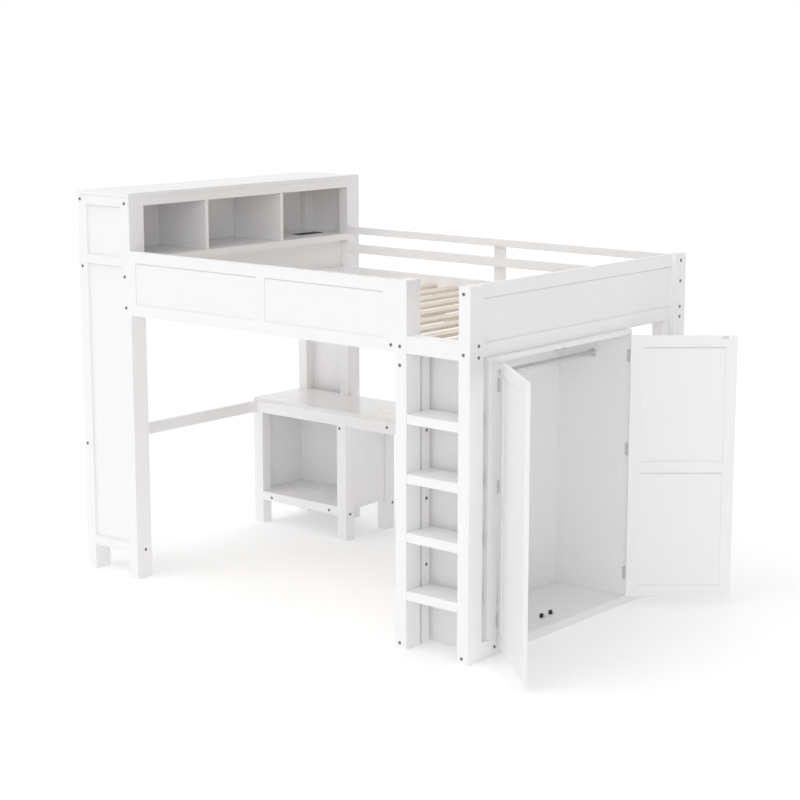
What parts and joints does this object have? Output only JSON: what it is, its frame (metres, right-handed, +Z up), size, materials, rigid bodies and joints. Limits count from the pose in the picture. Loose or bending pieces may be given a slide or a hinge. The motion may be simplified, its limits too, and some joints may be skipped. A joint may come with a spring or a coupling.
{
  "type": "loft bed",
  "caption": "White loft bed with a bookcase headboard, ladder, desk and open cabinet below, and a wardrobe with doors under the foot end.",
  "frame": {"origin": "centre of the foot of the near back post of the bookcase headboard, on the floor", "axes": "+X along the bed from the head to the foot, +Y from the ladder side to the wall side, +Z up"},
  "size_m": [2.7046, 1.7023, 1.815],
  "materials": {
    "white_paint": "satin paint",
    "desk_paint": "semi-gloss paint",
    "pine": "bare",
    "steel": "satin",
    "bolt_metal": "satin",
    "black_plastic": "matt"
  },
  "bodies": {
    "bed": {"near_back_post": "white_paint", "near_front_post": "white_paint", "far_back_post": "white_paint", "far_front_post": "white_paint", "near_end_frame": "white_paint", "near_end_panels": "white_paint", "far_end_frame": "white_paint", "far_end_panels": "white_paint", "bookcase_top": "white_paint", "bookcase_top_rail": "white_paint", "bookcase_shelf": "white_paint", "bookcase_back": "white_paint", "bookcase_dividers": "white_paint", "headboard_panel": "white_paint", "headboard_rail": "white_paint", "head_stretcher": "white_paint", "charging_station": "black_plastic", "charging_sockets": "black_plastic", "near_corner_post": "white_paint", "far_corner_post": "white_paint", "far_inner_leg": "white_paint", "near_guard_frame": "white_paint", "near_guard_panels": "white_paint", "near_side_rails": "white_paint", "far_guard_rails": "white_paint", "far_side_rail": "white_paint", "far_mid_post": "white_paint", "foot_rail_frame": "white_paint", "foot_rail_panel": "white_paint", "slat_ledgers": "white_paint", "centre_beam": "pine", "slats": "pine", "ladder_left_post": "white_paint", "ladder_rear_post": "white_paint", "ladder_top_board": "white_paint", "ladder_steps": "white_paint", "wardrobe_near_side": "white_paint", "wardrobe_far_side": "white_paint", "wardrobe_back": "white_paint", "wardrobe_top": "white_paint", "wardrobe_bottom": "white_paint", "wardrobe_stile": "white_paint", "plinth_rail": "white_paint", "hanging_rod": "steel", "wardrobe_fittings": "steel", "door_catches": "black_plastic", "desktop": "desk_paint", "desk_rails": "white_paint", "desk_legs": "white_paint", "cabinet_panels": "white_paint", "cabinet_shelf": "white_paint", "frame_bolts": "bolt_metal", "carcass_leaves": "steel", "hinge_pins": "steel"},
    "near_door": {"near_door_frame": "white_paint", "near_door_panels": "white_paint", "near_door_fittings": "steel"},
    "far_door": {"far_door_frame": "white_paint", "far_door_panels": "white_paint", "far_door_fittings": "steel"}
  },
  "joints": [
    {"name": "near_door_hinge", "type": "hinge", "parent": "bed", "child": "near_door", "pos_m": [2.3049, 0.1445, 0.6365], "axis": [0, 0, -1], "range_deg": [-131, 34]},
    {"name": "far_door_hinge", "type": "hinge", "parent": "bed", "child": "far_door", "pos_m": [2.3049, 1.0905, 0.6365], "axis": [0, 0, 1], "range_deg": [-131, 34]}
  ]
}
